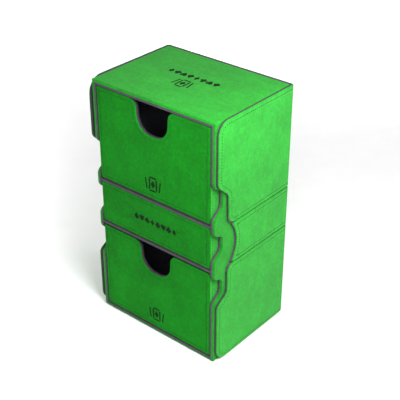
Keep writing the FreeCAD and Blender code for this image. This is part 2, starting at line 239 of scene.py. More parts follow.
# a darker copy of the green for the tray fronts, which face away from the key light: painted shade; its strong negative
# edge paints a dark line along the panel edges, the shade of the gaps round them
GREEN_FRONT_SHADED = suede("green_microfibre_front_painted_shade", (0.0010, 0.122, 0.0026), (0.0023, 0.214, 0.0054), (0.0052, 0.315, 0.0100),
                    stretch=(1.0, 1.0, 0.5), sheen=0.06, edge=-0.28, spec=0.12)
# dark green for the floors of the creases: painted shade
CREASE_SHADE = suede("green_crease_painted_shade", (0.003, 0.060, 0.005), (0.004, 0.080, 0.007), (0.007, 0.105, 0.010), sheen=0.05)
GREY = suede("grey_lining", (0.054, 0.050, 0.060), (0.074, 0.069, 0.082), (0.096, 0.090, 0.105), sheen=0.06)
# a darker copy of the grey lining for the cover's edges and the inside of its corners: painted shade
GREY_COVER_SHADED = suede("grey_lining_cover_painted_shade", (0.030, 0.034, 0.034), (0.044, 0.048, 0.048), (0.060, 0.063, 0.064), sheen=0.03)
DARK = suede("dark_lining", (0.054, 0.056, 0.070), (0.075, 0.078, 0.098), (0.098, 0.102, 0.128), sheen=0.15)
# near-black for the linings' front edges on the tray rims and for the shelves: the lining is dark, and the rest of the
# darkness is painted shade of the gaps and bays
EDGE_DARK_SHADE = suede("dark_lining_edge_painted_shade", (0.007, 0.007, 0.010), (0.011, 0.011, 0.015), (0.017, 0.017, 0.022), sheen=0.04)
# darker grey for the trays' straight front rims: painted shade of the gap under the band above
RIM_SHADE = suede("grey_lining_rim_painted_shade", (0.014, 0.014, 0.016), (0.020, 0.020, 0.023), (0.028, 0.028, 0.032), sheen=0.03)
# darker grey for the thumb cut-out rims: painted shade
RIM_CUT_SHADE = suede("grey_lining_cut_painted_shade", (0.030, 0.028, 0.035), (0.041, 0.038, 0.048), (0.054, 0.050, 0.062), sheen=0.04)
# a darker copy of the dark lining for the case bays: painted shade inside the case
BAY = suede("dark_lining_bay_painted_shade", (0.022, 0.022, 0.027), (0.034, 0.034, 0.041), (0.048, 0.048, 0.057), sheen=0.08)
BOARD = plain("greyboard", (0.055, 0.050, 0.060), (0.090, 0.082, 0.098), 700.0, 0.9, 0.5, 0.00012)
STEEL = plain("disc_steel", (0.50, 0.50, 0.52), (0.62, 0.62, 0.64), 260.0, 0.32, 0.1, 0.00003, metal=1.0, spec=0.5)
THREAD = thread_material("green_thread", (0.002, 0.050, 0.004), (0.004, 0.090, 0.007))
THREAD_FRONT = thread_material("green_thread_front", (0.002, 0.100, 0.004), (0.004, 0.150, 0.007))
MARK = suede("pressed_mark", (0.002, 0.016, 0.003), (0.003, 0.022, 0.004), (0.004, 0.030, 0.006), sheen=0.02)


# ------------------------------------------------------------------ mesh tools
def make(name, verts, faces, mats, face_mat=None, sharp=35.0):
    """An object from points in millimetres."""
    me = bpy.data.meshes.new(name)
    me.from_pydata([(x * MM, y * MM, z * MM) for x, y, z in verts], [], faces)
    for m in mats:
        me.materials.append(m)
    if face_mat:
        me.polygons.foreach_set("material_index", face_mat)
    bm = bmesh.new()
    bm.from_mesh(me)
    bmesh.ops.remove_doubles(bm, verts=bm.verts, dist=2e-6)
    bmesh.ops.dissolve_degenerate(bm, edges=bm.edges, dist=1e-6)
    bmesh.ops.recalc_face_normals(bm, faces=bm.faces)
    bm.to_mesh(me)
    bm.free()
    me.polygons.foreach_set("use_smooth", [True] * len(me.polygons))
    me.set_sharp_from_angle(angle=math.radians(sharp))
    ob = bpy.data.objects.new(name, me)
    scene.collection.objects.link(ob)
    return ob


class Outline:
    """A polygon with rounded corners, listed anticlockwise as (u, v, radius[, share]).
    share is how far the edge that starts there follows an inset (1 is all the way)."""

    def __init__(self, corners):
        self.p = [(c[0], c[1]) for c in corners]
        self.r = [c[2] for c in corners]
        self.f = [c[3] if len(c) > 3 else 1.0 for c in corners]
        area = 0.0
        n = len(self.p)
        for i in range(n):
            x0, y0 = self.p[i]
            x1, y1 = self.p[(i + 1) % n]
            area += x0 * y1 - x1 * y0
        if area < 0:
            raise ValueError("outline runs clockwise")
        self.t = []
        for i in range(n):
            a, b = self.p[i], self.p[(i + 1) % n]
            length = math.hypot(b[0] - a[0], b[1] - a[1])
            self.t.append(((b[0] - a[0]) / length, (b[1] - a[1]) / length))
        self.seg = []
        for i in range(n):
            a, b = self.t[i - 1], self.t[i]
            cross = a[0] * b[1] - a[1] * b[0]
            turn = math.atan2(cross, a[0] * b[0] + a[1] * b[1])
            r = self.r[i]
            if r <= 0:
                self.seg.append((turn, 0))
            else:
                step = 9.0 if r > 3 else 15.0
                self.seg.append((turn, max(3, int(math.ceil(abs(math.degrees(turn)) / step)))))

    def corner(self, i, d):
        """The rounded corner i of the outline inset by d, as a list of points."""
        a, b = self.t[i - 1], self.t[i]
        da, db = d * self.f[i - 1], d * self.f[i]
        P = self.p[i]
        pa = (P[0] - a[1] * da, P[1] + a[0] * da)
        pb = (P[0] - b[1] * db, P[1] + b[0] * db)
        cross = a[0] * b[1] - a[1] * b[0]
        if abs(cross) < 1e-9:
            V = pa
        else:
            s = ((pb[0] - pa[0]) * b[1] - (pb[1] - pa[1]) * b[0]) / cross
            V = (pa[0] + a[0] * s, pa[1] + a[1] * s)
        turn, n = self.seg[i]
        if n == 0:
            return [V]
        if turn > 0:
            r = max(self.r[i] - d, 0.0)
            side = 1.0
        else:
            r = self.r[i] + d
            side = -1.0
        if r < 1e-6:
            return [V] * (n + 1)
        T = r * math.tan(abs(turn) / 2)
        S = (V[0] - a[0] * T, V[1] - a[1] * T)
        C = (S[0] - a[1] * side * r, S[1] + a[0] * side * r)
        sx, sy = S[0] - C[0], S[1] - C[1]
        pts = []
        for k in range(n + 1):
            w = turn * k / n
            pts.append((C[0] + sx * math.cos(w) - sy * math.sin(w),
                        C[1] + sx * math.sin(w) + sy * math.cos(w)))
        return pts

    def ring(self, d):
        out = []
        for i in range(len(self.p)):
            out.extend(self.corner(i, d))
        return out

    def chain(self, first, last, d=0.0):
        """The open run of the outline from corner first to corner last."""
        out = []
        i = first
        while True:
            out.extend(self.corner(i, d))
            if i == last:
                return out
            i = (i + 1) % len(self.p)


class Build:
    """Gathers several closed shells into one object."""

    def __init__(self):
        self.v, self.f, self.m = [], [], []

    def shell(self, rings, place, mat=0, cap_first=True, cap_last=True, mats=None):
        """rings: lists of (u, v) with a height each: [(points, h), ...]; place maps (u, v, h)."""
        start = len(self.v)
        n = len(rings[0][0])
        for pts, h in rings:
            for u, v in pts:
                self.v.append(place(u, v, h))
        for k in range(len(rings) - 1):
            for i in range(n):
                j = (i + 1) % n
                a = start + k * n
                b = a + n
                self.f.append((a + i, a + j, b + j, b + i))
                self.m.append(mat if mats is None else mats[k])
        if cap_first:
            self.f.append(tuple(range(start + n - 1, start - 1, -1)))
            self.m.append(mat if mats is None else mats[0])
        if cap_last:
            a = start + (len(rings) - 1) * n
            self.f.append(tuple(range(a, a + n)))
            self.m.append(mat if mats is None else mats[-1])

    def done(self, name, mats, sharp=35.0):
        return make(name, self.v, self.f, mats, self.m, sharp)


def soft_profile(thick, edge=0.8, groove=2.6, depth=0.22, puff=0.05, back_edge=0.15):
    """(inset, height) pairs from the back face, round the soft edge, over the pressed
    stitch line and onto the field of a wrapped panel."""
    prof = [(back_edge, -thick), (0.0, -thick + back_edge)]
    edge = min(edge, thick - back_edge)
    for k in range(0, 7):
        w = math.radians(90) * k / 6
        prof.append((edge * (1 - math.cos(w)), -edge * (1 - math.sin(w))))
    if groove:
        g = groove
        prof += [(edge + 0.25 * (g - edge), puff * 0.8),
                 (edge + 0.55 * (g - edge), puff),
                 (g - 0.55, puff * 0.4), (g - 0.32, -depth * 0.45), (g - 0.12, -depth),
                 (g + 0.12, -depth), (g + 0.32, -depth * 0.5), (g + 0.65, -depth * 0.12),
                 (g + 1.1, 0.0), (g + 1.6, 0.0)]
    else:
        prof += [(edge + 0.3, 0.0), (edge + 0.8, 0.0)]
    return prof


def panel(build, outline, place, profile, mat=0):
    build.shell([(outline.ring(d), h) for d, h in profile], place, mat)


def thread_run(build, pts, place, closed=True, pitch=2.25, length=1.25, radius=0.29, sink=-0.05):
    """Stitches along a line of (u, v) points: short rounded threads lying in the groove."""
    line = list(pts)
    if closed:
        line.append(pts[0])
    seg = []
    total = 0.0
    for a, b in zip(line, line[1:]):
        q = math.hypot(b[0] - a[0], b[1] - a[1])
        if q > 1e-6:
            seg.append((total, q, a, b))
            total += q
    count = max(1, int(round(total / pitch)))
    step = total / count

    def at(s):
        s = s % total if closed else min(max(s, 0.0), total)
        for start, q, a, b in seg:
            if s <= start + q + 1e-9:
                w = (s - start) / q
                return (a[0] + (b[0] - a[0]) * w, a[1] + (b[1] - a[1]) * w)
        return seg[-1][3]

    sides = 8
    for k in range(count):
        mid = (k + 0.5) * step
        p0, p1 = at(mid - length / 2), at(mid + length / 2)
        dx, dy = p1[0] - p0[0], p1[1] - p0[1]
        q = math.hypot(dx, dy)
        if q < 0.3 * length:
            continue
        tx, ty = dx / q, dy / q
        # a slight slant, as a lockstitch lies
        sl = 0.10
        tx, ty = tx * math.cos(sl) - ty * math.sin(sl), tx * math.sin(sl) + ty * math.cos(sl)
        cx, cy = (p0[0] + p1[0]) / 2, (p0[1] + p1[1]) / 2
        nx, ny = -ty, tx
        first = len(build.v)
        shape = [(-0.5, 0.25, -0.09), (-0.42, 0.72, -0.03), (-0.2, 1.0, 0.03), (0.2, 1.0, 0.03),
                 (0.42, 0.72, -0.03), (0.5, 0.25, -0.09)]
        for s, rr, lift in shape:
            for j in range(sides):
                w = 2 * math.pi * j / sides
                off = radius * rr * math.cos(w)
                h = sink + lift + radius * rr * 0.8 * math.sin(w)
                build.v.append(place(cx + tx * s * q + nx * off, cy + ty * s * q + ny * off, h))
        for i in range(len(shape) - 1):
            for j in range(sides):
                jj = (j + 1) % sides
                a = first + i * sides
                b = a + sides
                build.f.append((a + j, a + jj, b + jj, b + j))
                build.m.append(0)
        build.f.append(tuple(first + j for j in range(sides)))
        build.m.append(0)
        a = first + (len(shape) - 1) * sides
        build.f.append(tuple(a + j for j in range(sides)))
        build.m.append(0)


def cap(build, pts, place, w0, w1, crown=0.2, under=0.3, mat=0, closed=False, soft=0.35):
    """A folded-over edge: a soft crowned strip that follows an outline's run. pts are
    (u, v) with the material on the left; the strip spans w0..w1 across."""
    n = len(pts)
    nor = []
    for i in range(n):
        a = pts[i - 1] if (closed or i > 0) else pts[i]
        b = pts[(i + 1) % n] if (closed or i < n - 1) else pts[i]
        dx, dy = b[0] - a[0], b[1] - a[1]
        q = math.hypot(dx, dy) or 1.0
        nor.append((dy / q, -dx / q))
    lo, hi = min(w0, w1), max(w0, w1)
    width = hi - lo
    s = min(soft, width * 0.3)
    sec = [(lo + 0.02, -under), (lo + 0.02, -0.12), (lo + 0.25 * s, crown * 0.15), (lo + s, crown * 0.72),
           (lo + width * 0.5, crown), (hi - s, crown * 0.72), (hi - 0.25 * s, crown * 0.15),
           (hi - 0.02, -0.12), (hi - 0.02, -under)]
    first = len(build.v)
    m = len(sec)
    for i in range(n):
        for w, h in sec:
            build.v.append(place(pts[i][0] + nor[i][0] * h, pts[i][1] + nor[i][1] * h, w))
    last = n if closed else n - 1
    for i in range(last):
        a = first + i * m
        b = first + ((i + 1) % n) * m
        for j in range(m):
            jj = (j + 1) % m
            build.f.append((a + j, a + jj, b + jj, b + j))
            build.m.append(mat)
    if not closed:
        build.f.append(tuple(first + j for j in range(m)))
        build.f.append(tuple(first + (n - 1) * m + j for j in range(m - 1, -1, -1)))
        build.m += [mat, mat]


def finish_piece(ob, body, slot, *replaced):
    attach(ob, body)
    if replaced:
        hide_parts(*replaced)
    return ob


# placing functions: (u, v, height above the outer face) -> x, y, z in millimetres
def facing_front(y):
    return lambda u, v, h: (u, y - h, v)


def facing_rear(y):
    return lambda u, v, h: (-u, y + h, v)


def facing_right(x):
    return lambda u, v, h: (x + h, u, v)


def facing_left(x):
    return lambda u, v, h: (x - h, -u, v)


def facing_up(z):
    return lambda u, v, h: (u, v, z + h)


def facing_down(z):
    return lambda u, v, h: (u, -v, z - h)


def mirrored(corners):
    """The outline mirrored in u, still anticlockwise, edge shares kept on their edges."""
    out = []
    n = len(corners)
    for i in range(n - 1, -1, -1):
        c = corners[i]
        share = corners[(i - 1) % n]
        share = share[3] if len(share) > 3 else 1.0
        out.append((-c[0], c[1], c[2], share))
    return out


# ------------------------------------------------------------------ marks: plain card pips
def traced(discs, polys, count=84):
    """The outline of discs and polygons seen from the origin: the furthest point of any
    of them in each direction, anticlockwise."""
    pts = []
    for k in range(count):
        w = 2 * math.pi * (k + 0.5) / count
        dx, dy = math.cos(w), math.sin(w)
        far = 0.0
        for cx, cy, r in discs:
            along = cx * dx + cy * dy
            off = abs(cx * dy - cy * dx)
            if off < r:
                far = max(far, along + math.sqrt(r * r - off * off))
        for poly in polys:
            for (ax, ay), (bx, by) in zip(poly, poly[1:] + poly[:1]):
                ex, ey = bx - ax, by - ay
                det = ex * dy - ey * dx
                if abs(det) < 1e-12:
                    continue
                t = (ex * ay - ey * ax) / det
                q = (dx * ay - dy * ax) / det
                if -1e-9 <= q <= 1 + 1e-9 and t > far:
                    far = t
        pts.append((dx * far, dy * far))
    return pts


def scaled(pts, s):
    return [(x * s, y * s) for x, y in pts]


def heart(s):
    lobes = [(-0.21, 0.19, 0.24), (0.21, 0.19, 0.24)]
    body = [(-0.425, 0.09), (-0.30, -0.16), (0.0, -0.50), (0.30, -0.16), (0.425, 0.09), (0.0, 0.2)]
    return scaled(traced(lobes, [body]), s)


def spade(s):
    lobes = [(-0.20, -0.12, 0.22), (0.20, -0.12, 0.22)]
    body = [(0.395, -0.03), (0.27, 0.19), (0.0, 0.52), (-0.27, 0.19), (-0.395, -0.03), (0.0, -0.14)]
    stem = [(0.0, 0.02), (-0.15, -0.52), (0.15, -0.52)]
    return scaled(traced(lobes, [body, stem]), s)


def club(s):
    lobes = [(0.25, -0.09, 0.215), (0.0, 0.26, 0.215), (-0.25, -0.09, 0.215), (0.0, 0.0, 0.12)]
    stem = [(0.0, 0.02), (-0.15, -0.50), (0.15, -0.50)]
    return scaled(traced(lobes, [stem]), s)


def diamond(s):
    pts = []
    c = [(0.36, 0), (0, 0.54), (-0.36, 0), (0, -0.54)]
    for i in range(4):
        a, b = c[i], c[(i + 1) % 4]
        for k in range(6):
            w = k / 6
            pull = 1 - 0.12 * math.sin(math.pi * w)
            pts.append((s * (a[0] + (b[0] - a[0]) * w) * pull, s * (a[1] + (b[1] - a[1]) * w) * pull))
    return pts


def prism(name, outlines, place, top, bottom, mat):
    b = Build()
    for pts in outlines:
        b.shell([(pts, bottom), (pts, top)], place)
    ob = b.done(name, [mat])
    return ob


def press_in(target, outlines, place, depth):
    """Presses closed outlines into a panel's outer face; their floors turn dark."""
    cutter = prism("cutter_" + target.name, outlines, place, 1.0, -depth, MARK)
    mod = target.modifiers.new("mark", "BOOLEAN")
    mod.operation = "DIFFERENCE"
    mod.object = cutter
    mod.solver = "EXACT"
    mod.material_mode = "TRANSFER"
    dg = bpy.context.evaluated_depsgraph_get()
    bpy.context.view_layer.update()
    done = bpy.data.meshes.new_from_object(target.evaluated_get(dg))
    target.modifiers.clear()
    old = target.data
    target.data = done
    bpy.data.meshes.remove(old)
    bpy.data.objects.remove(cutter)
    me = target.data
    me.polygons.foreach_set("use_smooth", [True] * len(me.polygons))
    me.set_sharp_from_angle(angle=math.radians(35))


def moved(pts, dx, dy, flip=False):
    k = -1 if flip else 1
    return [(dx + k * x, dy + k * y) for x, y in pts]


def pip_row(cx, cy, s, gap, flip=False):
    row = []
    shapes = (spade, heart, club, diamond) * 2
    for k, shape in enumerate(shapes):
        off = (k - 3.5) * gap
        row.append(moved(shape(s), cx + (-off if flip else off), cy, flip))
    return row


def turned(pts, degrees, px, py):
    c, q = math.cos(math.radians(degrees)), math.sin(math.radians(degrees))
    return [(px + (x - px) * c - (y - py) * q, py + (x - px) * q + (y - py) * c) for x, y in pts]


def emblem(cx, cy, s, flip=False):
    """A generic fan of cards: a card standing upright with a lozenge in it, and the long
    edges of two more cards leaning out from behind it."""
    w, h, b = 0.62 * s, 0.92 * s, 0.105 * s
    bars = [
        [(-w / 2 + b, h / 2 - b), (w / 2 - b, h / 2 - b), (w / 2 - b * 0.6, h / 2), (-w / 2 + b * 0.6, h / 2)],
        [(-w / 2 + b * 0.6, -h / 2), (w / 2 - b * 0.6, -h / 2), (w / 2 - b, -h / 2 + b), (-w / 2 + b, -h / 2 + b)],
        [(-w / 2, -h / 2 + b * 0.9), (-w / 2 + b, -h / 2 + b * 1.3), (-w / 2 + b, h / 2 - b * 1.3), (-w / 2, h / 2 - b * 0.9)],
        [(w / 2 - b, -h / 2 + b * 1.3), (w / 2, -h / 2 + b * 0.9), (w / 2, h / 2 - b * 0.9), (w / 2 - b, h / 2 - b * 1.3)],
    ]
    side = [(w / 2 + b * 0.75, -h * 0.33), (w / 2 + b * 1.65, -h * 0.33), (w / 2 + b * 1.65, h * 0.42),
            (w / 2 + b * 0.75, h * 0.42)]
    lean = turned(side, -9.0, 0.0, -h * 0.45)
    bars.append(lean)
    bars.append([(-x, y) for x, y in reversed(lean)])
    shapes = [moved(p, cx, cy, flip) for p in bars]
    shapes.append(moved(diamond(0.50 * s), cx, cy, flip))
    return shapes


# ------------------------------------------------------------------ sizes from the frame
(_, y0c, _), (_, _, _) = B("case_top_skin")
top_lo, top_hi = B("case_top_skin")
FRONT = top_lo[1]
CASE_REAR = top_hi[1]
HALF = top_hi[0]
TOP = top_hi[2]
SKIN = top_hi[2] - top_lo[2]
lin_lo, lin_hi = B("upper_bay_lining")
BOARD_IN = lin_hi[0]                    # inside of the side boards
LINING = 0.6
BAY_HALF = BOARD_IN - LINING
sl_lo, sl_hi = B("case_right_board")
BOARD_OUT = sl_hi[0]

# case side outline, front edge with its three finger notches, u = y, v = z
NOTCH_IN = -32.1
SIDE = [
    (FRONT, TOP, 0.9),
    (FRONT, 143.6, 6.0), (NOTCH_IN, 142.0, 4.5), (NOTCH_IN, 126.5, 7.0), (FRONT, 120.2, 5.0),
    (FRONT, 106.9, 6.0), (NOTCH_IN, 105.3, 4.5), (NOTCH_IN, 92.8, 7.0), (FRONT, 86.5, 5.0),
    (FRONT, 71.2, 6.0), (NOTCH_IN, 69.6, 4.5), (NOTCH_IN, 57.0, 7.0), (FRONT, 50.7, 5.0),
    (FRONT, 0.0, 0.9), (CASE_REAR, 0.0, 0.9), (CASE_REAR, TOP, 0.9)]


def with_ends(corners, top, bottom, rear, r=0.0):
    """The side's outline between other top, bottom and rear lines."""
    out = [(corners[0][0], top, r)] + corners[1:13]
    return out + [(corners[0][0], bottom, r), (rear, bottom, r), (rear, top, r)]


# ------------------------------------------------------------------ case
EDGE = soft_profile(SKIN, edge=0.75, groove=0)

b = Build()
o = Outline([(-HALF, FRONT, 0.6), (HALF, FRONT, 0.6), (HALF, CASE_REAR, 1.0), (-HALF, CASE_REAR, 1.0)])
panel(b, o, facing_up(TOP), EDGE)
cap(b, [(-BOARD_OUT, FRONT), (BOARD_OUT, FRONT)], lambda u, v, w: (u, v, w), TOP - SKIN - 0.75, TOP - SKIN + 0.3, crown=0.22)
top_skin = b.done("case_top_cover_skin", [GREEN_TOP, MARK])
press_in(top_skin, pip_row(-2.2, 5.2, 5.9, 5.75, True) + emblem(-1.6, -7.2, 12.5, True), facing_up(TOP), 0.28)
finish_piece(top_skin, "case", "green_microfibre", "case_top_skin")

b = Build()
o = Outline([(-HALF, -CASE_REAR, 1.0), (HALF, -CASE_REAR, 1.0), (HALF, -FRONT, 1.2), (-HALF, -FRONT, 1.2)])
panel(b, o, facing_down(0.0), EDGE)
finish_piece(b.done("case_base_skin", [GREEN]), "case", "green_microfibre", "case_bottom_skin")

b = Build()
o = Outline([(-HALF + SKIN, SKIN, 0), (HALF - SKIN, SKIN, 0), (HALF - SKIN, TOP - SKIN, 0), (-HALF + SKIN, TOP - SKIN, 0)])
panel(b, o, facing_rear(CASE_REAR), soft_profile(SKIN, edge=0.3, groove=0))
finish_piece(b.done("case_rear_skin", [GREEN]), "case", "green_microfibre", "case_back_skin")

side_poly = with_ends(SIDE, TOP - SKIN, SKIN, CASE_REAR)
for side in ("right", "left"):
    b = Build()
    if side == "right":
        o, place = Outline(side_poly), facing_right(HALF)
    else:
        o, place = Outline(mirrored(side_poly)), facing_left(-HALF)
    panel(b, o, place, soft_profile(SKIN, edge=0.6, groove=0))
    # the case sides take the darker green copy: painted shade
    finish_piece(b.done("case_%s_side_skin" % side, [GREEN_CASE_SHADED]), "case", "green_microfibre", "case_%s_skin" % side)

# folded front edges of the boards and linings
b = Build()
run = Outline(with_ends(SIDE, TOP - SKIN, SKIN, CASE_REAR)).chain(0, 13)
for x0, x1 in ((BOARD_IN - 0.4, BOARD_OUT - 0.8), (-BOARD_OUT + 0.8, -BOARD_IN + 0.4)):
    cap(b, run, lambda u, v, w: (w, u, v), x0, x1, crown=0.2)
# the green roll at the boards' front edges takes the darker case green: painted shade
for x0, x1 in ((BOARD_OUT - 0.8, BOARD_OUT + 0.2), (-BOARD_OUT - 0.2, -BOARD_OUT + 0.8)):
    cap(b, run, lambda u, v, w: (w, u, v), x0, x1, crown=0.12, mat=1)
finish_piece(b.done("case_side_front_edging", [GREY, GREEN_CASE_SHADED]), "case", "grey_lining")
b = Build()
for z0, z1 in ((TOP - SKIN - 2.5, TOP - SKIN - 0.75), (113.3, 115.25), (77.3, 79.2), (SKIN, SKIN + 1.85)):
    cap(b, [(-BOARD_IN + 0.05, FRONT), (BOARD_IN - 0.05, FRONT)], lambda u, v, w: (u, v, w), z0, z1, crown=0.18)
finish_piece(b.done("case_shelf_front_edging", [GREY]), "case", "grey_lining")

# ------------------------------------------------------------------ trays
THUMB = dict(deep=23.3, top=14.8, low=13.4, lip=6.0, round=12.5)
for tag, thumb in (("top_tray", True), ("middle_tray", False), ("bottom_tray", True)):
    lo, hi = B(tag + "_outer_skin")
    xh, yf, yr, zl, zt = hi[0], lo[1], hi[1], lo[2], hi[2]
    sk = 1.0
    b, st = Build(), Build()
    corners = [(-xh, zl, 1.1), (xh, zl, 1.1), (xh, zt, 1.3)]
    if thumb:
        T = THUMB
        corners += [(T["top"], zt, T["lip"]), (T["low"], zt - T["deep"], T["round"]),
                    (-T["low"], zt - T["deep"], T["round"]), (-T["top"], zt, T["lip"])]
    corners += [(-xh, zt, 1.3)]
    front = Outline(corners)
    prof = soft_profile(sk, edge=0.55, groove=2.5, depth=0.06, puff=0.02)
    panel(b, front, facing_front(yf), prof)
    # the tray fronts take the darker front green: painted shade, also along their edges
    face = b.done(tag + "_front_skin", [GREEN_FRONT_SHADED, MARK])
    mid = (zl + zt) / 2
    if tag == "middle_tray":
        press_in(face, pip_row(1.0, 97.0, 5.2, 5.1), facing_front(yf), 0.28)
    else:
        press_in(face, emblem(0.0, zl + 11.8, 12.6), facing_front(yf), 0.28)
    finish_piece(face, tag, "green_microfibre")
    thread_run(st, front.ring(2.5), facing_front(yf))
    b = Build()
    # sides: their front edge runs on from the rounded edge of the front panel
    ysf = yf + sk
    sp = [(ysf, zl + 0.0, 0.4, 1.0), (yr, zl, 1.0, 1.0), (yr, zt, 1.0, 1.0), (ysf, zt, 0.4, 0.02)]
    sprof = soft_profile(sk, edge=0.78, groove=2.5, depth=0.06, puff=0.02)
    right = Outline(sp)
    panel(b, right, facing_right(xh), sprof)
    left = Outline(mirrored(sp))
    panel(b, left, facing_left(-xh), sprof)
    for o, place in ((right, facing_right(xh)), (left, facing_left(-xh))):
        thread_run(st, Outline([(c[0], c[1], 0.6) for c in
                   ([(ysf + 2.2, zl + 2.5), (yr - 2.5, zl + 2.5), (yr - 2.5, zt - 2.5), (ysf + 2.2, zt - 2.5)]
                    if place(0, 0, 0)[0] > 0 else
                    [(-yr + 2.5, zl + 2.5), (-ysf - 2.2, zl + 2.5), (-ysf - 2.2, zt - 2.5), (-yr + 2.5, zt - 2.5)])]).ring(0),
                   place)
    bk = Outline([(-xh + sk, zl, 0.4), (xh - sk, zl, 0.4), (xh - sk, zt, 0.4), (-xh + sk, zt, 0.4)])
    panel(b, bk, facing_rear(yr), soft_profile(sk, edge=0.4, groove=0))
    fl = Outline([(-xh + sk, -yr + sk, 0.3), (xh - sk, -yr + sk, 0.3), (xh - sk, -ysf, 0.3), (-xh + sk, -ysf, 0.3)])
    panel(b, fl, facing_down(zl), soft_profile(sk, edge=0.3, groove=0))
    finish_piece(b.done(tag + "_body_skin", [GREEN]), tag, "green_microfibre", tag + "_outer_skin")
    finish_piece(st.done(tag + "_stitching", [THREAD_FRONT]), tag, "green_microfibre")
    # folded rim over boards and lining: the straight front runs and the thumb cut-out in darker greys are painted
    # shade, and the lining band behind them is near-black, the dark lining with painted shade
    b = Build()
    y_out, y_in = yf + sk, yf + sk + 1.8 + 0.7
    n = len(corners)
    rim = front.chain(2, n - 1)
    # trim the rim run to the inside of the skin
    rim = [p for p in rim if abs(p[0]) <= xh - sk - 0.01]
    rim = [(xh - sk, zt)] + rim + [(-xh + sk, zt)]
    if thumb:
        cut = front.chain(3, 6)
        runs = [([(xh - sk, zt), (cut[0][0], zt)], 2), (cut, 3), ([(cut[-1][0], zt), (-xh + sk, zt)], 2)]
    else:
        runs = [(rim, 2)]
    for run, mat in runs:
        cap(b, run, lambda u, v, w: (u, w, v), y_out, y_out + 1.5, crown=0.16, mat=mat)
    cap(b, rim, lambda u, v, w: (u, w, v), y_out + 1.5, y_in, crown=0.12, mat=1)
    w_in = sk + 2.5
    for sx in (1, -1):
        x0, x1 = sx * (xh - sk), sx * (xh - w_in)
        run = [(yr - w_in, zt), (y_in, zt)]
        cap(b, run, lambda u, v, w: (w, u, v), x0, x1, crown=0.16)
    run = [(xh - sk, zt), (-xh + sk, zt)]
    cap(b, run, lambda u, v, w: (u, w, v), yr - w_in, yr - sk, crown=0.16)
    finish_piece(b.done(tag + "_rim_edging", [GREY, EDGE_DARK_SHADE, RIM_SHADE, RIM_CUT_SHADE]), tag, "grey_lining")

# ------------------------------------------------------------------ cover
cb_lo, cb_hi = B("cover_back_skin")
REAR = cb_hi[1]
CH = cb_hi[0]
CZ0, CZ1 = cb_lo[2], cb_hi[2]
rf_lo, rf_hi = B("right_flap_outer_skin")
FX = rf_hi[0]
FR = rf_hi[1]
FF = rf_lo[1]
CSKIN = rf_hi[0] - rf_lo[0]
ll_lo, ll_hi = B("right_flap_lining")
FXI = ll_lo[0]
CRL, CRH = 79.9, 112.8
GAP = 0.36                      # half of a crease's width at the face

UPPER = [(FF, CZ1, 10.0), (FF, 146.6, 6.0), (-29.0, 136.5, 6.0), (-28.4, CRH + GAP, 6.5),
         (FR, CRH + GAP, 0.0, 0.02), (FR, CZ1, 0.0)]
MIDDLE = [(-24.6, CRH - GAP, 1.4), (-15.6, 96.3, 24.0), (-24.6, CRL + GAP, 1.4),
          (FR, CRL + GAP, 0.0, 0.02), (FR, CRH - GAP, 0.0)]
LOWER = [(-28.6, CRL - GAP, 6.5), (-29.0, 56.0, 6.0), (FF, 49.4, 5.0), (FF, CZ0, 10.0),
         (FR, CZ0, 0.0, 0.02), (FR, CRL - GAP, 0.0)]
FPROF = soft_profile(CSKIN, edge=0.58, groove=2.9, depth=0.05, puff=0.02, back_edge=0.1)


def open_run(o, d, skip):
    """The inset line of an outline without the edge that starts at corner skip."""
    n = len(o.p)
    return o.chain((skip + 1) % n, skip, d)


def smooth(t):
    t = min(1.0, max(0.0, t))
    return t * t * (3 - 2 * t)


def lean(z):
    """How far the left flap's front edge stands out at height z: it is held at its top corner."""
    return 1.5 + 0.8 * smooth((z - 70.0) / 60.0) - 2.0 * smooth((z - 177.0) / (CZ1 - 177.0))


def stand_off(ob):
    """The left flap rests a little proud of the case at its front edge."""
    bm = bmesh.new()
    bm.from_mesh(ob.data)
    cuts = [((0, 0, z * MM), (0, 0, 1)) for z in (75, 85, 95, 105, 115, 125, 140, 160, 176, 179, 182, 185, 188, 190.5)]
    cuts += [((0, y * MM, 0), (0, 1, 0)) for y in (-30, -15, 0, 15, 30)]
    for co, no in cuts:
        geom = bm.verts[:] + bm.edges[:] + bm.faces[:]
        bmesh.ops.bisect_plane(bm, geom=geom, dist=1e-6, plane_co=co, plane_no=no)
    for v in bm.verts:
        away = FR * MM - v.co.y
        if away > 0:
            v.co.x -= away * lean(v.co.z / MM) / (FR - FF)
    bm.to_mesh(ob.data)
    bm.free()
    return ob


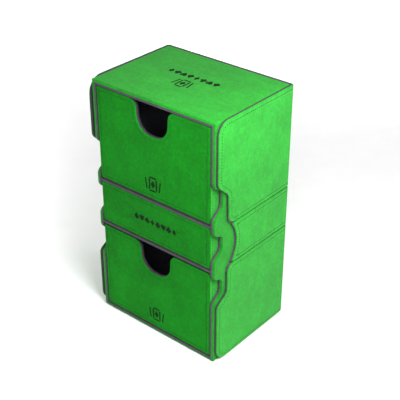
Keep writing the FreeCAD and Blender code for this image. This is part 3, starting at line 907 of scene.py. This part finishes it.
for side in ("right", "left"):
    b, st = Build(), Build()
    settle = stand_off if side == "left" else (lambda ob: ob)
    for corners in (UPPER, MIDDLE, LOWER):
        skip = len(corners) - 2
        if side == "right":
            o, place = Outline(corners), facing_right(FX)
            run = open_run(o, 2.9, skip)
        else:
            o, place = Outline(mirrored(corners)), facing_left(-FX)
            # the rear edge runs from the mirrored top corner to the bottom one
            k = [i for i in range(len(o.f)) if o.f[i] < 0.5][0]
            run = open_run(o, 2.9, k)
        panel(b, o, place, FPROF)
        thread_run(st, run, place, closed=False)
    # the pressed creases between the three panels, their floors dark green: painted shade in the creases
    for z in (CRL, CRH):
        strip = [(-23.2, z - 0.9, 0.3), (FR, z - 0.9, 0), (FR, z + 0.9, 0), (-23.2, z + 0.9, 0.3)]
        if side == "right":
            o, place = Outline(strip), facing_right(FX)
        else:
            o, place = Outline(mirrored(strip)), facing_left(-FX)
        b.shell([(o.ring(0), -0.68), (o.ring(0), -0.42)], place, 1)
    finish_piece(settle(b.done("%s_flap_skin" % side, [GREEN, CREASE_SHADE])), "%s_flap" % side, "green_microfibre",
                 "%s_flap_outer_skin" % side)
    finish_piece(settle(st.done("%s_flap_stitching" % side, [THREAD])), "%s_flap" % side, "green_microfibre")
    # folded edge of boards and lining, in a darker copy of the grey: painted shade
    b = Build()
    for corners, first, last in ((UPPER, 5, 3), (MIDDLE, 0, 2), (LOWER, 0, 4)):
        o = Outline(corners)
        run = o.chain(first, last)
        if side == "right":
            cap(b, run, lambda u, v, w: (w, u, v), FXI, FX - CSKIN, crown=0.1, soft=0.3)
        else:
            cap(b, run, lambda u, v, w: (-w, u, v), FXI, FX - CSKIN, crown=0.1, soft=0.3)
    finish_piece(settle(b.done("%s_flap_edging" % side, [GREY_COVER_SHADED])), "%s_flap" % side, "grey_lining")

b, st = Build(), Build()
spans = ((CZ0, CRL - GAP), (CRL + GAP, CRH - GAP), (CRH + GAP, CZ1))
for z0, z1 in spans:
    o = Outline([(-CH, z0, 0, 1.0), (CH, z0, 0, 0.02), (CH, z1, 0, 1.0), (-CH, z1, 0, 0.02)])
    panel(b, o, facing_rear(REAR), FPROF)
    for zz in (z0 + 2.9, z1 - 2.9):
        thread_run(st, [(-CH + 0.6, zz), (CH - 0.6, zz)], facing_rear(REAR), closed=False)
# the creases' floors in dark green: painted shade
for z in (CRL, CRH):
    o = Outline([(-CH, z - 0.9, 0), (CH, z - 0.9, 0), (CH, z + 0.9, 0), (-CH, z + 0.9, 0)])
    b.shell([(o.ring(0), -0.68), (o.ring(0), -0.42)], facing_rear(REAR), 1)
finish_piece(b.done("cover_rear_skin", [GREEN, CREASE_SHADE]), "cover_back", "green_microfibre", "cover_back_skin")
finish_piece(st.done("cover_rear_stitching", [THREAD]), "cover_back", "green_microfibre")
b = Build()
yi, yo = B("cover_back_lining")[0][1], REAR - CSKIN
# the cover's rear edges in the darker grey copy: painted shade
for run in ([(CH, CZ1), (-CH, CZ1)], [(-CH, CZ0), (CH, CZ0)]):
    cap(b, run, lambda u, v, w: (u, w, v), yi, yo, crown=0.1, soft=0.3)
finish_piece(b.done("cover_rear_edging", [GREY_COVER_SHADED]), "cover_back", "grey_lining")

# the cover's two vertical corners: the skin runs round them
for side, sx in (("right", 1), ("left", -1)):
    cx, cy, R0 = FXI, B("cover_back_lining")[0][1], FX - FXI
    b = Build()
    arc = [(FX, FR - 0.05)]
    for k in range(13):
        w = math.radians(90) * k / 12
        arc.append((cx + R0 * math.cos(w), cy + R0 * math.sin(w)))
    arc.append((CH - 0.05, REAR))
    nor = [(1, 0)] + [(math.cos(math.radians(90) * k / 12), math.sin(math.radians(90) * k / 12)) for k in range(13)] + [(0, 1)]
    ends = [(0.0, 0.45), (0.12, 0.2), (0.4, 0.04), (0.8, 0.0)]
    levels = []
    for z0, z1 in spans:
        levels += [(z0 + a, d) for a, d in ends]
        steps = max(2, int((z1 - z0) / 6))
        for k in range(1, steps):
            levels.append((z0 + 0.8 + (z1 - z0 - 1.6) * k / steps, 0.0))
        levels += [(z1 - a, d) for a, d in reversed(ends)]
    n = len(arc)
    for z, d in levels:
        for (px, py), (nx, ny) in zip(arc, nor):
            b.v.append((sx * (px - nx * d), py - ny * d, z))
        for (px, py), (nx, ny) in reversed(list(zip(arc, nor))):
            b.v.append((sx * (px - nx * CSKIN), py - ny * CSKIN, z))
    m = 2 * n
    for k in range(len(levels) - 1):
        # the floor of a crease runs between two spans of the skin; it is dark green, painted shade in the crease
        floor_mat = 2 if levels[k][1] == levels[k + 1][1] == 0.45 else 0
        for j in range(m):
            jj = (j + 1) % m
            a, c = k * m, (k + 1) * m
            b.f.append((a + j, a + jj, c + jj, c + j))
            b.m.append(floor_mat if j < n - 1 else 1)
    for a in (0, (len(levels) - 1) * m):
        for j in range(n - 1):
            b.f.append((a + j, a + j + 1, a + m - 2 - j, a + m - 1 - j))
            b.m.append(1)
    strip = b.done("%s_corner_skin" % side, [GREEN, GREY_COVER_SHADED, CREASE_SHADE], sharp=40)
    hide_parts("%s_fold_strip" % side)
    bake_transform(strip)
    # the lining's fold inside the corner
    b = Build()
    r = R0 - CSKIN - 0.08
    pts = [(cx + 0.05, cy + 0.05)]
    for k in range(9):
        w = math.radians(90) * k / 8
        pts.append((cx + 0.05 + r * math.cos(w), cy + 0.05 + r * math.sin(w)))
    b.shell([([(sx * x, y) for x, y in pts], CZ0 + 0.2), ([(sx * x, y) for x, y in pts], CZ1 - 0.2)],
            lambda u, v, h: (u, v, h))
    finish_piece(b.done("%s_corner_core" % side, [GREY]), "cover_back", "grey_lining")

# ------------------------------------------------------------------ carried-over CAD nodes
def copied(node, name):
    ob = bpy.data.objects.new(name, NODES[node].data.copy())
    scene.collection.objects.link(ob)
    return ob


slots = {s["node"]: s["material_slot"] for s in frame["record"]["subparts"]}
look = {"green_microfibre": GREEN, "grey_lining": GREY, "dark_lining": DARK,
        "greyboard": BOARD, "magnet_steel": STEEL}
for name, ob in NODES.items():
    mat = look[slots[name]]
    # the bays take a darker copy of the dark lining and the shelves near-black: painted shade inside the case
    if name.endswith("bay_lining"):
        mat = BAY
    if name.endswith("_shelf"):
        mat = EDGE_DARK_SHADE
    ob.data.materials.clear()
    ob.data.materials.append(mat)
for node in ("left_flap_upper_board", "left_flap_middle_board", "left_flap_lower_board", "left_flap_lining",
             "left_flap_discs"):
    finish_piece(stand_off(copied(node, node + "_settled")), "left_flap", slots[node], node)

# ------------------------------------------------------------------ stage, light, camera
bm = bmesh.new()
bmesh.ops.create_grid(bm, x_segments=4, y_segments=4, size=6.0)
me = bpy.data.meshes.new("floor")
bm.to_mesh(me)
bm.free()
floor = bpy.data.objects.new("floor", me)
floor.location = (0, 0, -0.0004)
n = Nodes("pale_floor")
t = n.noise((1, 1, 1), 40.0, 2.0)
c = n.ramp(t, "Fac", [(0.3, (0.86, 0.86, 0.86)), (0.7, (0.88, 0.88, 0.88))])
n.link(c, "Color", n.bsdf, "Base Color")
n.bsdf.inputs["Roughness"].default_value = 0.9
n.bsdf.inputs["Specular IOR Level"].default_value = 0.1
me.materials.append(n.mat)
scene.collection.objects.link(floor)

world = bpy.data.worlds.new("studio")
world.use_nodes = True
bg = world.node_tree.nodes["Background"]
bg.inputs["Color"].default_value = (1, 1, 1, 1)
bg.inputs["Strength"].default_value = 0.40
scene.world = world


def area(name, loc, aim, size, power, color=(1, 1, 1)):
    data = bpy.data.lights.new(name, "AREA")
    data.shape = "DISK"
    data.size = size
    data.energy = power
    data.color = color
    ob = bpy.data.objects.new(name, data)
    ob.location = loc
    d = Vector(aim) - Vector(loc)
    ob.rotation_euler = d.to_track_quat("-Z", "Y").to_euler()
    scene.collection.objects.link(ob)
    return ob


area("key", (0.225, -0.12, 0.35), (0.03, 0, 0.14), 0.18, 1.88)
area("side", (0.42, 0.34, 0.25), (0.05, 0, 0.10), 0.22, 1.1)
area("floor_wash", (-0.40, -0.12, 0.18), (-0.40, -0.12, 0.0), 0.4, 1.1)
area("fill", (0.36, -0.50, 0.45), (0, 0, 0.10), 0.20, 0.52)
area("backdrop_wash", (-0.50, 0.85, 0.185), (-0.50, 0.85, 0.0), 0.9, 9.0)

cam_data = bpy.data.cameras.new("camera")
cam_data.sensor_width = 36.0
cam_data.sensor_fit = "HORIZONTAL"
cam_data.lens = 83.87
cam = bpy.data.objects.new("camera", cam_data)
cam.location = (0.3823, -0.4469, 0.4496)
cam.rotation_euler = (math.radians(59.085), math.radians(-0.037), math.radians(39.975))
scene.collection.objects.link(cam)
scene.camera = cam

bpy.context.view_layer.update()
